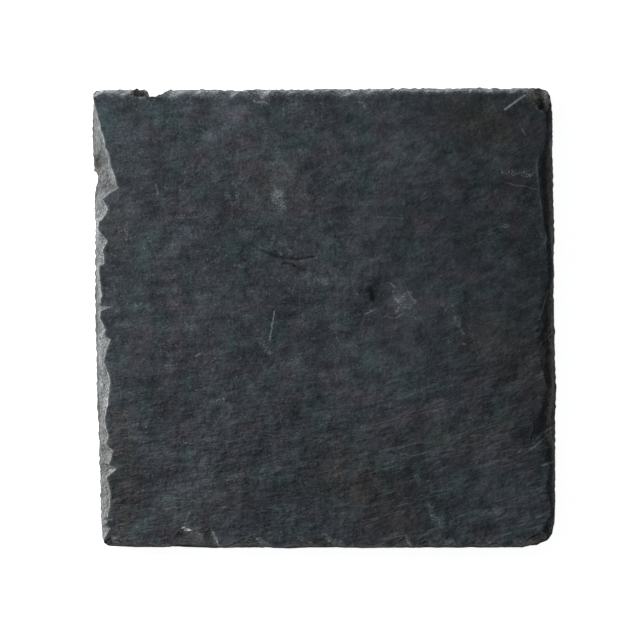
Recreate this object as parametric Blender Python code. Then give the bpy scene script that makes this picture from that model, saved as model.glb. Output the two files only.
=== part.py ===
"""A square slab of riven slate with flaked, hand-trimmed edges, lying on its flat underside.

Everything is in millimetres until the mesh is made: X to the right, Y away, Z up, with the
origin under the middle of the slab, on the surface that it rests on.
"""

from collections import namedtuple

import bpy
import numpy as np
from mathutils.geometry import delaunay_2d_cdt

MM = 0.001

THICKNESS = 5.6
SEED = 11

# The outline as seen from above, from the far left corner down the left side and round.
OUTLINE = [
    (-50.3, 49.0), (-50.5, 44.6), (-50.4, 33.2), (-50.2, 32.3), (-49.5, 31.8), (-49.4, 29.5),
    (-49.9, 27.6), (-50.1, 23.4), (-49.9, 17.0), (-50.1, 3.0), (-49.8, -5.7), (-49.4, -22.1),
    (-48.9, -33.0), (-48.7, -44.0), (-48.4, -47.5), (-47.9, -48.8), (-47.0, -49.5),
    (-42.6, -49.7), (-33.4, -49.7), (-22.4, -50.0), (-14.0, -49.9), (-7.5, -50.1), (1.2, -49.8),
    (8.2, -50.0), (29.6, -49.8), (42.8, -49.8), (44.7, -49.4), (46.3, -49.3), (47.4, -48.7),
    (48.4, -48.3), (49.6, -46.7), (50.1, -44.6),
    (50.3, -39.6), (50.5, -14.4), (50.2, -1.3), (50.0, 6.8), (50.2, 20.6), (49.9, 28.2),
    (49.7, 42.4), (49.5, 46.2), (49.1, 48.5), (48.7, 49.4), (47.9, 50.0),
    (46.3, 50.2), (29.6, 50.2), (3.4, 50.0), (-18.5, 49.8), (-33.4, 49.9),
    (-34.4, 49.6), (-35.0, 48.9), (-36.4, 48.4), (-37.8, 48.1), (-38.1, 48.5), (-38.3, 49.3),
    (-38.9, 49.9), (-40.8, 50.1), (-48.5, 49.8), (-49.7, 49.6),
]
NIBBLE = 0.09

# A trimmed side: the straight line that the trimmer followed, the width of the bevel that runs
# all along it, how far from its start that bevel takes to open, the little step at the inner
# edge of its scars, how rounded they are (1 straight), and which coordinate (0 for X, 1 for Y)
# places a flake on it.
Side = namedtuple("Side", "start end bevel opening step round axis")
LEFT = Side((-50.4, 49.0), (-48.4, -48.4), 0.85, 20.0, 0.22, 1.0, 1)
BOTTOM = Side((-48.4, -49.8), (50.0, -50.0), 0.35, 1.0, 0.12, 1.7, 0)
RIGHT = Side((50.5, -48.4), (49.7, 49.0), 1.40, 1.0, 0.08, 2.2, 1)
TOP = Side((49.1, 50.3), (-50.4, 49.8), 0.85, 1.0, 0.16, 1.2, 0)
SIDES = (LEFT, BOTTOM, RIGHT, TOP)

# A flake broken off the upper edge: where it starts, is deepest and ends along its side, how far
# it reaches in, how its scar bows (1 straight, under 1 rounded) and how it leans with depth.
Flake = namedtuple("Flake", "side start crest end reach bow lean", defaults=(0.6, 0.0))
FLAKES = [
    Flake(LEFT, 48.4, 28.4, 24.5, 5.1, 1.0),
    Flake(LEFT, 26.7, 23.8, 21.0, 2.95, 0.35),
    Flake(LEFT, 20.1, 16.8, 12.5, 2.85, 1.0),
    Flake(LEFT, 18.2, 12.0, 11.5, 2.05, 0.3),
    Flake(LEFT, 9.4, 5.1, 2.8, 1.45, 0.8),
    Flake(LEFT, 3.4, 2.7, 1.3, 3.55, 1.0),
    Flake(LEFT, 0.7, -2.4, -5.7, 1.9),
    Flake(LEFT, -2.6, -4.5, -12.7, 3.0, 1.0),
    Flake(LEFT, -6.8, -13.8, -26.5, 2.8, 0.7),
    Flake(LEFT, -19.9, -25.8, -28.7, 2.1, 0.5),
    Flake(LEFT, -27.2, -28.7, -33.5, 2.95, 0.3),
    Flake(LEFT, -30.4, -32.6, -35.9, 3.55, 1.0),
    Flake(LEFT, -33.0, -38.5, -46.2, 2.3, 0.35),
    Flake(LEFT, -42.4, -43.7, -44.2, 2.6, 1.0),
    Flake(LEFT, -44.2, -45.5, -48.4, 2.1, 0.8),
    Flake(BOTTOM, -49.3, -46.5, -33.4, 2.6, 1.0),
    Flake(BOTTOM, -33.4, -30.2, -24.5, 4.8, 0.4),
    Flake(BOTTOM, -27.7, -24.6, -22.9, 4.6, 0.5),
    Flake(BOTTOM, -22.4, -15.4, -10.4, 2.85, 1.0),
    Flake(BOTTOM, -8.9, -5.4, -0.1, 2.2),
    Flake(BOTTOM, -4.3, 0.1, 4.7, 2.85, 1.0),
    Flake(BOTTOM, 4.7, 5.4, 6.9, 1.5, 0.8),
    Flake(BOTTOM, 7.8, 11.7, 14.8, 1.1, 0.5),
    Flake(BOTTOM, 13.9, 17.6, 19.4, 2.5, 0.8),
    Flake(BOTTOM, 19.6, 22.2, 24.4, 1.85),
    Flake(BOTTOM, 24.4, 25.9, 29.2, 1.4),
    Flake(BOTTOM, 29.6, 32.7, 35.3, 1.7, 0.5),
    Flake(BOTTOM, 34.9, 37.3, 39.5, 1.45, 0.5),
    Flake(BOTTOM, 38.8, 41.0, 43.7, 1.9),
    Flake(BOTTOM, 43.2, 46.7, 51.5, 4.4),
    Flake(RIGHT, 39.5, 33.5, 12.5, 3.9, 0.5),
    Flake(RIGHT, 24.9, 16.2, 7.4, 2.2, 0.5),
    Flake(RIGHT, 9.4, 3.1, -5.7, 2.9, 0.5),
    Flake(RIGHT, 6.5, -4.2, -10.5, 4.4, 0.8),
    Flake(RIGHT, -3.6, -9.5, -19.5, 3.4, 0.6),
    Flake(RIGHT, -13.0, -24.0, -28.4, 5.4, 0.6, -0.35),
    Flake(RIGHT, -25.0, -30.0, -33.0, 3.1, 0.55, -0.2),
    Flake(RIGHT, -31.3, -36.8, -42.2, 2.7, 0.5),
    Flake(RIGHT, -42.2, -46.2, -51.5, 4.1),
    Flake(TOP, -52.6, -50.7, -46.7, 2.3, 1.0),
    Flake(TOP, -46.9, -43.9, -41.2, 1.6),
    Flake(TOP, -43.0, -39.1, -36.9, 1.8, 0.5),
    Flake(TOP, -35.6, -33.4, -29.4, 1.8),
    Flake(TOP, -30.3, -28.1, -25.5, 1.3),
    Flake(TOP, -25.9, -24.2, -22.4, 1.3, 0.5),
    Flake(TOP, -22.9, -20.5, -18.1, 2.0, 0.55),
    Flake(TOP, -16.8, -13.9, -11.3, 2.4, 0.6),
    Flake(TOP, -11.5, -8.0, -5.1, 1.3),
    Flake(TOP, -2.7, -0.5, 1.4, 0.95),
    Flake(TOP, 1.0, 4.2, 7.3, 1.9, 0.5),
    Flake(TOP, 7.1, 9.1, 11.5, 1.45),
    Flake(TOP, 12.1, 14.8, 17.0, 0.95, 0.5),
    Flake(TOP, 17.4, 19.1, 22.0, 1.05),
    Flake(TOP, 22.6, 24.6, 26.8, 1.0),
    Flake(TOP, 29.9, 31.4, 32.7, 1.4, 0.8),
    Flake(TOP, 33.4, 35.6, 37.7, 1.2, 0.5),
    Flake(TOP, 37.5, 40.2, 42.8, 1.5),
    Flake(TOP, 41.7, 48.2, 55.9, 6.1, 1.15),
]

# How a scar falls from the face to the side wall: its hollow or bulge, and the height of its
# lip, which is lower the further the flake reaches.
BEVEL_STEP = 0.08
SCAR_CURVE = 0.95
CURVE_SPREAD = 0.2
SHALLOW_LIP = 0.62
LIP_PER_REACH = 0.07
LOWEST_LIP = 0.28
BEVEL_LIP = 0.55

# A patch of the riven face that stands above or below the rest by part of a cleavage layer.
Patch = namedtuple("Patch", "x y half_x half_y height edge")
PATCHES = [
    Patch(-8.5, 19.5, 9.0, 5.6, 0.12, 3.0),
    Patch(13.6, 5.4, 3.2, 3.0, -0.28, 2.2),
    Patch(-1.0, -34.5, 13.0, 3.2, 0.11, 2.0),
    Patch(33.0, 27.0, 9.0, 6.5, -0.14, 2.5),
]
SWELL = 0.09
SWELL_LENGTH = 24.0
RAGGEDNESS = 0.16

# Little hollows knocked into the broken rim.
PITS = [
    Patch(-48.7, 33.9, 1.0, 1.4, -0.4, 0.8),
    Patch(-40.2, 48.9, 1.8, 0.9, -1.1, 0.6),
    Patch(46.8, 49.0, 1.5, 0.9, -0.6, 0.7),
    Patch(47.2, 46.8, 0.9, 1.5, -0.4, 0.8),
    Patch(49.3, 40.6, 0.7, 1.6, -0.5, 0.4),
]

# Thin scars on the underside, clear of its middle.
UNDERSIDE_PATCHES = [
    Patch(-26.0, 24.0, 11.0, 8.0, 0.30, 0.8),
    Patch(28.0, -20.0, 9.0, 14.0, 0.25, 0.8),
    Patch(-18.0, -30.0, 12.0, 6.0, 0.20, 0.8),
]

# The side wall and the broken lower edge.
WALL_ROUGHNESS = 0.14
FOOT_HEIGHT = 0.7
FOOT_INSET = 0.25
FOOT_BEVEL = 0.9

# Where the rows of the rim lie, and how closely the mesh follows the shape.
CORE = 40.0
DEEPEST = 7.2
RAY_STEP = 0.04
EDGE_WIDTH = 0.12
RIM_ROWS = (0.62, 0.3)
FINE_GAP = 0.12
WIDEST_GAP = 2.2
BEND = 0.14
FACE_GAP = 2.5
UNDERSIDE_GAP = 5.0

SLATE_COLOUR = (0.047, 0.054, 0.058, 1.0)


def value_noise(x, y, length, seed):
    """Smooth noise from -1 to 1 over a plane, with bumps about one length apart."""
    lattice = np.random.default_rng(seed).uniform(-1.0, 1.0, (64, 64))
    across = np.asarray(x, float) / length + 17.3
    up = np.asarray(y, float) / length + 29.1
    column = np.floor(across).astype(int)
    row = np.floor(up).astype(int)
    fx = across - column
    fy = up - row
    fx = fx * fx * (3 - 2 * fx)
    fy = fy * fy * (3 - 2 * fy)
    low = lattice[row % 64, column % 64] * (1 - fx)
    low += lattice[row % 64, (column + 1) % 64] * fx
    high = lattice[(row + 1) % 64, column % 64] * (1 - fx)
    high += lattice[(row + 1) % 64, (column + 1) % 64] * fx
    return low * (1 - fy) + high * fy


def inset_from(side, x, y):
    """How far inside a side's trim line a point lies."""
    (x0, y0), (x1, y1) = side.start, side.end
    return ((x0 - x) * (y1 - y0) + (y - y0) * (x1 - x0)) / np.hypot(x1 - x0, y1 - y0)


def patch_share(patch, x, y, seed):
    """1 well inside a patch, 0 outside it, with a ragged edge between."""
    span = min(patch.half_x, patch.half_y)
    ragged = value_noise(x, y, span * 0.9, seed) + 0.5 * value_noise(x, y, span * 0.35, seed + 1)
    radius = np.hypot((x - patch.x) / patch.half_x, (y - patch.y) / patch.half_y)
    inside = (1.0 - radius + RAGGEDNESS * ragged) * span
    share = np.clip(inside / patch.edge + 0.5, 0.0, 1.0)
    return share * share * (3 - 2 * share)


def face_height(x, y):
    """The riven upper face: a low swell, with a few patches a little up or down."""
    height = THICKNESS + SWELL * value_noise(x, y, SWELL_LENGTH, SEED)
    height += 0.5 * SWELL * value_noise(x, y, SWELL_LENGTH * 0.4, SEED + 1)
    for number, patch in enumerate(PATCHES):
        height += patch.height * patch_share(patch, x, y, SEED + 20 + number)
    return height


def underside_height(x, y):
    """The underside: flat, but for its thin scars."""
    height = np.zeros(np.shape(x))
    for number, patch in enumerate(UNDERSIDE_PATCHES):
        height += patch.height * patch_share(patch, x, y, SEED + 60 + number)
    return height


def scar_height(width, inset, lip, top, curve, round_off):
    """A scar's height at an inset from the trim line, and infinity past its inner edge."""
    share = np.clip(inset / np.maximum(width, 1e-6), 0.0, 1.0) ** curve
    risen = 1.0 - (1.0 - share) ** round_off
    return np.where(inset < width, lip + (top - lip) * risen, np.inf)


def flake_height(flake, number, x, y, face):
    """The scar left by one flake."""
    inset = inset_from(flake.side, x, y)
    along = (y if flake.side.axis else x) - flake.lean * inset
    rise = (along - flake.start) / (flake.crest - flake.start)
    fall = (flake.end - along) / (flake.end - flake.crest)
    shape = np.clip(np.minimum(rise, fall), 0.0, 1.0) ** flake.bow
    ripple = 1.0 + 0.06 * value_noise(along, np.full_like(along, 3.0 * number), 1.3, SEED + 3)
    lip = THICKNESS * max(LOWEST_LIP, SHALLOW_LIP - LIP_PER_REACH * flake.reach)
    curve = SCAR_CURVE + CURVE_SPREAD * np.sin(2.4 * number)
    width = flake.reach * shape * ripple
    return scar_height(width, inset, lip, face - flake.side.step, curve, flake.side.round)


def bevel_height(side, number, x, y, face):
    """The narrow bevel that runs all along a side."""
    inset = inset_from(side, x, y)
    along = y if side.axis else x
    lane = np.full_like(along, 30.0 * number)
    waver = value_noise(along, lane, 4.0, SEED + 4) + 0.6 * value_noise(along, lane, 1.5, SEED + 5)
    lip = THICKNESS * (BEVEL_LIP + 0.06 * waver)
    opened = np.hypot(x - side.start[0], y - side.start[1]) / side.opening
    width = side.bevel * np.clip(opened, 0.2, 1.0) * (1.0 + 0.35 * waver)
    return scar_height(width, inset, lip, face - BEVEL_STEP, 1.0, side.round)


def upper_height(x, y):
    """The upper surface anywhere on the slab: the face, or the lowest scar and its hollows."""
    face = face_height(x, y)
    height = face
    for number, side in enumerate(SIDES):
        height = np.minimum(height, bevel_height(side, number, x, y, face))
    for number, flake in enumerate(FLAKES):
        height = np.minimum(height, flake_height(flake, number, x, y, face))
    for number, pit in enumerate(PITS):
        height = height + pit.height * patch_share(pit, x, y, SEED + 40 + number)
    return height


def walk_round():
    """Points one fine gap apart round the nibbled outline, and the way in from each."""
    corners = np.array(OUTLINE + OUTLINE[:1])
    travelled = np.append(0.0, np.cumsum(np.hypot(*np.diff(corners, axis=0).T)))
    count = round(travelled[-1] / FINE_GAP)
    place = np.arange(count) * travelled[-1] / count
    points = np.stack([np.interp(place, travelled, corners[:, axis]) for axis in (0, 1)], 1)
    ways = np.clip(points, -CORE, CORE) - points
    ways /= np.hypot(*ways.T)[:, None]
    nibble = value_noise(place, np.zeros(count), 2.6, SEED + 6)
    nibble += 0.6 * value_noise(place, np.zeros(count), 0.9, SEED + 7)
    fade = np.minimum(1.0, np.minimum(place, travelled[-1] - place) / 3.0)
    return points - ways * (NIBBLE * nibble * fade)[:, None], ways, place


def scar_depths(points, ways):
    """How far the broken rim goes in from each point before the face begins."""
    depths = np.arange(0.0, DEEPEST, RAY_STEP)
    x = points[:, :1] + ways[:, :1] * depths
    y = points[:, 1:] + ways[:, 1:] * depths
    broken = upper_height(x, y) < face_height(x, y) - 0.02
    last = broken.shape[1] - 1 - np.argmax(broken[:, ::-1], axis=1)
    return np.where(broken.any(axis=1), depths[last] + RAY_STEP, 0.3)


def bends(curve):
    """Indices that keep a curve within BEND of the whole, with no gap over WIDEST_GAP."""
    kept = {0, len(curve) - 1}
    spans = [(0, len(curve) - 1)]
    while spans:
        first, last = spans.pop()
        if last - first < 2:
            continue
        share = np.linspace(0.0, 1.0, last - first + 1)[1:-1, None]
        straight = curve[first] + (curve[last] - curve[first]) * share
        error = np.abs(curve[first + 1:last] - straight).max(axis=1)
        middle = first + 1 + int(np.argmax(error))
        if error.max() < BEND:
            if (last - first) * FINE_GAP < WIDEST_GAP:
                continue
            middle = (first + last) // 2
        kept.add(middle)
        spans += [(first, middle), (middle, last)]
    return sorted(kept)[:-1]


def rim():
    """Rows of points round the slab, from the face's edge out, down the wall and in below."""
    points, ways, place = walk_round()
    depth = scar_depths(points, ways)
    inner = points + ways * depth[:, None]
    lip = upper_height(*points.T)
    columns = bends(np.column_stack([points, inner, lip]))
    points, ways, place, depth = (each[columns] for each in (points, ways, place, depth))

    def row(inset, height):
        flat = points + ways * inset[:, None]
        return np.column_stack([flat, height(*flat.T)])

    edge = np.minimum(EDGE_WIDTH, 0.3 * depth)
    rows = [row(depth, face_height), row(depth - edge, upper_height)]
    rows += [row(depth * share, upper_height) for share in RIM_ROWS]
    rows.append(row(0.0 * depth, upper_height))
    lip = rows[-1][:, 2]
    rough = value_noise(place, lip, 1.9, SEED + 8)
    foot = FOOT_HEIGHT * (1.0 + 0.4 * value_noise(place, lip, 3.1, SEED + 9))
    tuck = FOOT_INSET + WALL_ROUGHNESS * rough
    rows.append(row(WALL_ROUGHNESS * (1.0 + rough), lambda x, y: 0.5 * (lip + foot)))
    rows.append(row(tuck, lambda x, y: foot))
    bevel = FOOT_BEVEL * (1.0 + 0.5 * value_noise(place, lip, 4.3, SEED + 10))
    rows.append(row(tuck + bevel, lambda x, y: 0.0 * x))
    return rows


def inside(border, points, margin):
    """Which points lie within a closed border and at least a margin away from its points."""
    crossings = np.zeros(len(points), int)
    near = np.full(len(points), np.inf)
    for (x0, y0), (x1, y1) in zip(border, np.roll(border, -1, axis=0)):
        near = np.minimum(near, np.hypot(points[:, 0] - x0, points[:, 1] - y0))
        spans = (y0 > points[:, 1]) != (y1 > points[:, 1])
        with np.errstate(divide="ignore", invalid="ignore"):
            cut = x0 + (points[:, 1] - y0) * (x1 - x0) / (y1 - y0)
        crossings += spans & (points[:, 0] < cut)
    return (crossings % 2 == 1) & (near > margin)


def fill(border, gap, height):
    """Points and triangles that fill a border; the border's own points come first."""
    side = np.arange(-CORE - 12.0, CORE + 12.0, gap)
    x, y = np.meshgrid(side, side * 0.87)
    x[1::2] += 0.5 * gap
    shake = np.random.default_rng(SEED).uniform(-0.2, 0.2, (2,) + x.shape) * gap
    spread = np.column_stack([(x + shake[0]).ravel(), (y + shake[1]).ravel()])
    spread = spread[inside(border, spread, 0.6 * gap)]
    flat = np.vstack([border, spread])
    ring = list(range(len(border)))
    made = delaunay_2d_cdt(flat.tolist(), [], [ring], 1, 1e-6)
    source = [origins[0] for origins in made[3]]
    points = np.column_stack([flat, height(*flat.T)])
    return points, [[source[corner] for corner in face] for face in made[2]]


def slab_mesh():
    """The vertices, in metres, and the triangles of the whole slab."""
    rows = rim()
    count = len(rows[0])
    vertices = np.vstack(rows)
    faces = []
    for band in range(len(rows) - 1):
        for column in range(count):
            after = (column + 1) % count
            a, b = band * count + column, band * count + after
            c, d = a + count, b + count
            faces += [[a, c, d], [a, d, b]]
    lids = ((0, FACE_GAP, face_height, 1), (len(rows) - 1, UNDERSIDE_GAP, underside_height, -1))
    for band, gap, height, up in lids:
        border = rows[band][:, :2]
        points, triangles = fill(border, gap, height)
        shift = len(vertices) - count
        vertices = np.vstack([vertices, points[count:]])
        for triangle in triangles:
            corners = [band * count + i if i < count else shift + i for i in triangle]
            faces.append(corners[::up])
    return vertices * MM, faces


def slate():
    """Dark, dull blue-grey slate."""
    material = bpy.data.materials.new("slate")
    material.use_nodes = True
    shader = material.node_tree.nodes["Principled BSDF"]
    shader.inputs["Base Color"].default_value = SLATE_COLOUR
    shader.inputs["Roughness"].default_value = 0.75
    shader.inputs["Metallic"].default_value = 0.0
    return material


def main():
    for thing in list(bpy.data.objects):
        bpy.data.objects.remove(thing)
    vertices, faces = slab_mesh()
    mesh = bpy.data.meshes.new("slate_slab")
    mesh.from_pydata(vertices.tolist(), [], faces)
    mesh.materials.append(slate())
    slab = bpy.data.objects.new("slate_slab", mesh)
    bpy.context.scene.collection.objects.link(slab)


main()
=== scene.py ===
"""The look of the slate slab: its finely broken rim and riven face, its stone, and a plain pale studio.

The piece replaces the CAD solid of the same stone and keeps to the same outline, flakes and
patches, in millimetres until the mesh is made, with the finer relief added on top.
"""

import math
from collections import namedtuple

import bpy
import numpy as np
from mathutils.geometry import delaunay_2d_cdt
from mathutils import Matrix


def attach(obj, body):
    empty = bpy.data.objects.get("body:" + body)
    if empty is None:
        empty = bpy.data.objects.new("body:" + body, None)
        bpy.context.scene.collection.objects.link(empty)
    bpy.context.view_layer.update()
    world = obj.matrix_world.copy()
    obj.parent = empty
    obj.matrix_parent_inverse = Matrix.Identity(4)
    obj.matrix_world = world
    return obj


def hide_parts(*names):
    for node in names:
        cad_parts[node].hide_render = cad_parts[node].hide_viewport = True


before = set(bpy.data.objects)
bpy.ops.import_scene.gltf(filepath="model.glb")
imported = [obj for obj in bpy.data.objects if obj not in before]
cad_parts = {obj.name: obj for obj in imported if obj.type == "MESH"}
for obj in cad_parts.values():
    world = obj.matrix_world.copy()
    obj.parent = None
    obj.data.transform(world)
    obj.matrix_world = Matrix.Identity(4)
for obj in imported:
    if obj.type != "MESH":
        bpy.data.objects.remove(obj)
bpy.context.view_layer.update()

# A millimetre in metres, the slab's thickness, and where all its random numbers start.
MM = 0.001
THICKNESS = 5.6
SEED = 11

# The outline as seen from above, from the far left corner down the left side and round.
OUTLINE = [
    (-50.3, 49.0), (-50.5, 44.6), (-50.4, 33.2), (-50.2, 32.3), (-49.5, 31.8), (-49.4, 29.5),
    (-49.9, 27.6), (-50.1, 23.4), (-49.9, 17.0), (-50.1, 3.0), (-49.8, -5.7), (-49.4, -22.1),
    (-48.9, -33.0), (-48.7, -44.0), (-48.4, -47.5), (-47.9, -48.8), (-47.0, -49.5),
    (-42.6, -49.7), (-33.4, -49.7), (-22.4, -50.0), (-14.0, -49.9), (-7.5, -50.1), (1.2, -49.8),
    (8.2, -50.0), (29.6, -49.8), (42.8, -49.8), (44.7, -49.4), (46.3, -49.3), (47.4, -48.7),
    (48.4, -48.3), (49.6, -46.7), (50.1, -44.6),
    (50.3, -39.6), (50.5, -14.4), (50.2, -1.3), (50.0, 6.8), (50.2, 20.6), (49.9, 28.2),
    (49.7, 42.4), (49.5, 46.2), (49.1, 48.5), (48.7, 49.4), (47.9, 50.0),
    (46.3, 50.2), (29.6, 50.2), (3.4, 50.0), (-18.5, 49.8), (-33.4, 49.9),
    (-34.4, 49.6), (-35.0, 48.9), (-36.4, 48.4), (-37.8, 48.1), (-38.1, 48.5), (-38.3, 49.3),
    (-38.9, 49.9), (-40.8, 50.1), (-48.5, 49.8), (-49.7, 49.6),
]

# How far the broken outline strays from those points: small nibbles, and jags on some sides, each
# with the lengths of its waves, and the length in which both fade at the outline's first point.
NIBBLE = 0.09
NIBBLE_LENGTHS = (2.6, 0.9)
JAG_LENGTHS = (0.9, 0.5)
SEAM_FADE = 3.0

# A trimmed side: the straight line that the trimmer followed, the width of the bevel that runs
# all along it, how far from its start that bevel takes to open, the little step at the inner
# edge of its scars, how rounded they are (1 straight), and which coordinate (0 for X, 1 for Y)
# places a flake on it.
Side = namedtuple("Side", "start end bevel opening step round axis")
LEFT = Side((-50.4, 49.0), (-48.4, -48.4), 0.85, 20.0, 0.22, 1.0, 1)
BOTTOM = Side((-48.4, -49.8), (50.0, -50.0), 0.35, 1.0, 0.12, 1.7, 0)
RIGHT = Side((50.5, -48.4), (49.7, 49.0), 1.40, 1.0, 0.08, 2.2, 1)
TOP = Side((49.1, 50.3), (-50.4, 49.8), 0.85, 1.0, 0.16, 1.2, 0)
SIDES = (LEFT, BOTTOM, RIGHT, TOP)

# A flake broken off the upper edge: where it starts, is deepest and ends along its side, how far
# it reaches in, how its scar bows (1 straight, under 1 rounded) and how it leans with depth.
Flake = namedtuple("Flake", "side start crest end reach bow lean", defaults=(0.6, 0.0))
FLAKES = [
    Flake(LEFT, 48.4, 28.4, 24.5, 5.1, 1.0),
    Flake(LEFT, 26.7, 23.8, 21.0, 2.95, 0.35),
    Flake(LEFT, 20.1, 16.8, 12.5, 2.85, 1.0),
    Flake(LEFT, 18.2, 12.0, 11.5, 2.05, 0.3),
    Flake(LEFT, 9.4, 5.1, 2.8, 1.45, 0.8),
    Flake(LEFT, 3.4, 2.7, 1.3, 3.55, 1.0),
    Flake(LEFT, 0.7, -2.4, -5.7, 1.9),
    Flake(LEFT, -2.6, -4.5, -12.7, 3.0, 1.0),
    Flake(LEFT, -6.8, -13.8, -26.5, 2.8, 0.7),
    Flake(LEFT, -19.9, -25.8, -28.7, 2.1, 0.5),
    Flake(LEFT, -27.2, -28.7, -33.5, 2.95, 0.3),
    Flake(LEFT, -30.4, -32.6, -35.9, 3.55, 1.0),
    Flake(LEFT, -33.0, -38.5, -46.2, 2.3, 0.35),
    Flake(LEFT, -42.4, -43.7, -44.2, 2.6, 1.0),
    Flake(LEFT, -44.2, -45.5, -48.4, 2.1, 0.8),
    Flake(BOTTOM, -49.3, -46.5, -33.4, 2.6, 1.0),
    Flake(BOTTOM, -33.4, -30.2, -24.5, 4.8, 0.4),
    Flake(BOTTOM, -27.7, -24.6, -22.9, 4.6, 0.5),
    Flake(BOTTOM, -22.4, -15.4, -10.4, 2.85, 1.0),
    Flake(BOTTOM, -8.9, -5.4, -0.1, 2.2),
    Flake(BOTTOM, -4.3, 0.1, 4.7, 2.85, 1.0),
    Flake(BOTTOM, 4.7, 5.4, 6.9, 1.5, 0.8),
    Flake(BOTTOM, 7.8, 11.7, 14.8, 1.1, 0.5),
    Flake(BOTTOM, 13.9, 17.6, 19.4, 2.5, 0.8),
    Flake(BOTTOM, 19.6, 22.2, 24.4, 1.85),
    Flake(BOTTOM, 24.4, 25.9, 29.2, 1.4),
    Flake(BOTTOM, 29.6, 32.7, 35.3, 1.7, 0.5),
    Flake(BOTTOM, 34.9, 37.3, 39.5, 1.45, 0.5),
    Flake(BOTTOM, 38.8, 41.0, 43.7, 1.9),
    Flake(BOTTOM, 43.2, 46.7, 51.5, 4.4),
    Flake(RIGHT, 39.5, 33.5, 12.5, 3.9, 0.5),
    Flake(RIGHT, 24.9, 16.2, 7.4, 2.2, 0.5),
    Flake(RIGHT, 9.4, 3.1, -5.7, 2.9, 0.5),
    Flake(RIGHT, 6.5, -4.2, -10.5, 4.4, 0.8),
    Flake(RIGHT, -3.6, -9.5, -19.5, 3.4, 0.6),
    Flake(RIGHT, -13.0, -24.0, -28.4, 5.4, 0.6, -0.35),
    Flake(RIGHT, -25.0, -30.0, -33.0, 3.1, 0.55, -0.2),
    Flake(RIGHT, -31.3, -36.8, -42.2, 2.7, 0.5),
    Flake(RIGHT, -42.2, -46.2, -51.5, 4.1),
    Flake(TOP, -52.6, -50.7, -46.7, 2.3, 1.0),
    Flake(TOP, -46.9, -43.9, -41.2, 1.6),
    Flake(TOP, -43.0, -39.1, -36.9, 1.8, 0.5),
    Flake(TOP, -35.6, -33.4, -29.4, 1.8),
    Flake(TOP, -30.3, -28.1, -25.5, 1.3),
    Flake(TOP, -25.9, -24.2, -22.4, 1.3, 0.5),
    Flake(TOP, -22.9, -20.5, -18.1, 2.0, 0.55),
    Flake(TOP, -16.8, -13.9, -11.3, 2.4, 0.6),
    Flake(TOP, -11.5, -8.0, -5.1, 1.3),
    Flake(TOP, -2.7, -0.5, 1.4, 0.95),
    Flake(TOP, 1.0, 4.2, 7.3, 1.9, 0.5),
    Flake(TOP, 7.1, 9.1, 11.5, 1.45),
    Flake(TOP, 12.1, 14.8, 17.0, 0.95, 0.5),
    Flake(TOP, 17.4, 19.1, 22.0, 1.05),
    Flake(TOP, 22.6, 24.6, 26.8, 1.0),
    Flake(TOP, 29.9, 31.4, 32.7, 1.4, 0.8),
    Flake(TOP, 33.4, 35.6, 37.7, 1.2, 0.5),
    Flake(TOP, 37.5, 40.2, 42.8, 1.5),
    Flake(TOP, 41.7, 48.2, 55.9, 6.1, 1.15),
]

# The little step at a bevel's inner edge. How a scar falls from the face to the side wall: its
# hollow or bulge, and the height of its lip, which is lower the further the flake reaches.
BEVEL_STEP = 0.08
SCAR_CURVE = 0.95
CURVE_SPREAD = 0.2
SHALLOW_LIP = 0.62
LIP_PER_REACH = 0.07
LOWEST_LIP = 0.28
BEVEL_LIP = 0.55

# A patch of the riven face that stands above or below the rest by part of a cleavage layer.
Patch = namedtuple("Patch", "x y half_x half_y height edge")
PATCHES = [
    Patch(-8.5, 19.5, 9.0, 5.6, 0.12, 3.0),
    Patch(13.6, 5.4, 3.2, 3.0, -0.28, 2.2),
    Patch(-1.0, -34.5, 13.0, 3.2, 0.11, 2.0),
    Patch(33.0, 27.0, 9.0, 6.5, -0.14, 2.5),
]

# The low swell of the whole face, and how ragged the edges of its patches are.
SWELL = 0.09
SWELL_LENGTH = 24.0
RAGGEDNESS = 0.16

# Little hollows knocked into the broken rim.
PITS = [
    Patch(-48.7, 33.9, 1.0, 1.4, -0.4, 0.8),
    Patch(-40.2, 48.9, 1.8, 0.9, -1.1, 0.6),
    Patch(46.8, 49.0, 1.5, 0.9, -0.6, 0.7),
    Patch(47.2, 46.8, 0.9, 1.5, -0.4, 0.8),
    Patch(49.3, 40.6, 0.7, 1.6, -0.5, 0.4),
]

# Thin scars on the underside, clear of its middle.
UNDERSIDE_PATCHES = [
    Patch(-26.0, 24.0, 11.0, 8.0, 0.30, 0.8),
    Patch(28.0, -20.0, 9.0, 14.0, 0.25, 0.8),
    Patch(-18.0, -30.0, 12.0, 6.0, 0.20, 0.8),
]

# The side wall, and the broken lower edge: its height, how far in it lies and its bevel.
WALL_ROUGHNESS = 0.14
FOOT_HEIGHT = 0.7
FOOT_INSET = 0.25
FOOT_BEVEL = 0.9

# Where the rows of the rim lie, how far its inner edge wavers, and how fine the mesh is.
CORE = 40.0
LID_REACH = 52.0
DEEPEST = 7.2
NARROWEST = 0.3
EDGE_WAVER = 0.05
RAY_STEP = 0.04
EDGE_WIDTH = 0.2
RIM_STEPS = 17
WALL_STEPS = 8
COLUMN_GAP = 0.27
FACE_GAP = 0.45
UNDERSIDE_GAP = 2.0

# How a lid's points lie, in shares of their gap: the next row, the jitter, the bare edge.
ROW_SHARE = 0.87
JITTER = 0.2
CLEARANCE = 0.6

# The fine relief of the broken rim: layers of slate, which part of a layer is flat, how strong
# the layers are and how far in they fade, the grain, the depth below the face at which both are
# in full and from which stone counts as broken, and how steeply a scar goes on down outside its
# trim line. The wall has a grain of its own.
LAYER = 0.5
LAYER_FLAT = 0.55
LAYERING = 0.55
LAYERS_FADE = 0.9
RIM_GRAIN = 0.13
FULL_DEPTH = 0.6
LEAST_DEPTH = 0.02
SPILL = 1.1
WALL_GRAIN = 0.12

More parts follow.
